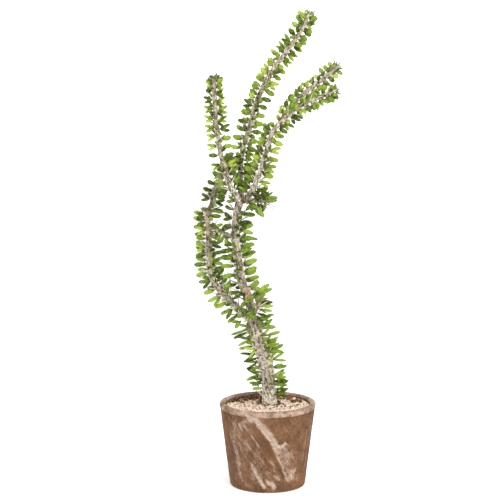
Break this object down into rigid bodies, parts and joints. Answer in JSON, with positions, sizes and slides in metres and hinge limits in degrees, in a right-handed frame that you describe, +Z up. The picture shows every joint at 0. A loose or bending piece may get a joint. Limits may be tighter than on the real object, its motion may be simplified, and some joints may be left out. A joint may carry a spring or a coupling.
{
  "type": "potted succulent",
  "caption": "Spiny, branching succulent with rows of small fleshy leaves along pale stems, standing in a plain conical clay pot topped with fine gravel.",
  "frame": {"origin": "centre of the pot's foot, on the surface it stands on", "axes": "+Z up along the pot's axis, -Y to the front of the plant, +X to its right"},
  "size_m": [0.2164, 0.1394, 0.6913],
  "materials": {
    "fired_clay": "matt, unglazed brown clay with pale mineral bloom",
    "soil": null,
    "gravel": "cream fine gravel",
    "bark": "silvery, grooved bark",
    "leaf": null
  },
  "bodies": {
    "root": {"centre_stem": "bark", "centre_stem_leaves_1": "leaf", "centre_stem_leaves_2": "leaf", "centre_stem_leaves_3": "leaf", "centre_stem_leaves_4": "leaf", "centre_stem_leaves_5": "leaf", "gravel_topdressing": "gravel", "left_stem": "bark", "left_stem_leaves_1": "leaf", "left_stem_leaves_2": "leaf", "left_stem_leaves_3": "leaf", "left_stem_leaves_4": "leaf", "left_stem_leaves_5": "leaf", "left_stem_top": "bark", "left_stem_top_leaves_1": "leaf", "left_stem_top_leaves_2": "leaf", "left_stem_top_leaves_3": "leaf", "left_stem_top_leaves_4": "leaf", "left_tall_branch": "bark", "left_tall_branch_leaves_1": "leaf", "left_tall_branch_leaves_2": "leaf", "left_tall_branch_leaves_3": "leaf", "left_tall_branch_leaves_4": "leaf", "pot": "fired_clay", "potting_soil": "soil", "right_branch": "bark", "right_branch_leaves_1": "leaf", "right_branch_leaves_2": "leaf", "right_branch_leaves_3": "leaf", "right_branch_leaves_4": "leaf", "right_branch_leaves_5": "leaf", "short_right_shoot": "bark", "short_right_shoot_leaves_1": "leaf", "short_right_shoot_leaves_2": "leaf", "short_right_shoot_leaves_3": "leaf", "small_left_shoot": "bark", "small_left_shoot_leaves_1": "leaf", "small_left_shoot_leaves_2": "leaf", "top_branch": "bark", "top_branch_leaves_1": "leaf", "top_branch_leaves_2": "leaf", "top_branch_leaves_3": "leaf", "top_branch_leaves_4": "leaf", "top_branch_leaves_5": "leaf", "trunk": "bark", "trunk_leaves_1": "leaf", "trunk_leaves_2": "leaf", "trunk_leaves_3": "leaf", "trunk_leaves_4": "leaf", "trunk_leaves_5": "leaf", "trunk_leaves_6": "leaf", "trunk_spur": "bark", "trunk_spur_leaves_1": "leaf", "trunk_spur_leaves_2": "leaf", "trunk_spur_leaves_3": "leaf", "upper_right_branch": "bark", "upper_right_branch_leaves_1": "leaf", "upper_right_branch_leaves_2": "leaf", "upper_right_branch_leaves_3": "leaf", "upper_right_branch_leaves_4": "leaf"}
  },
  "joints": []
}
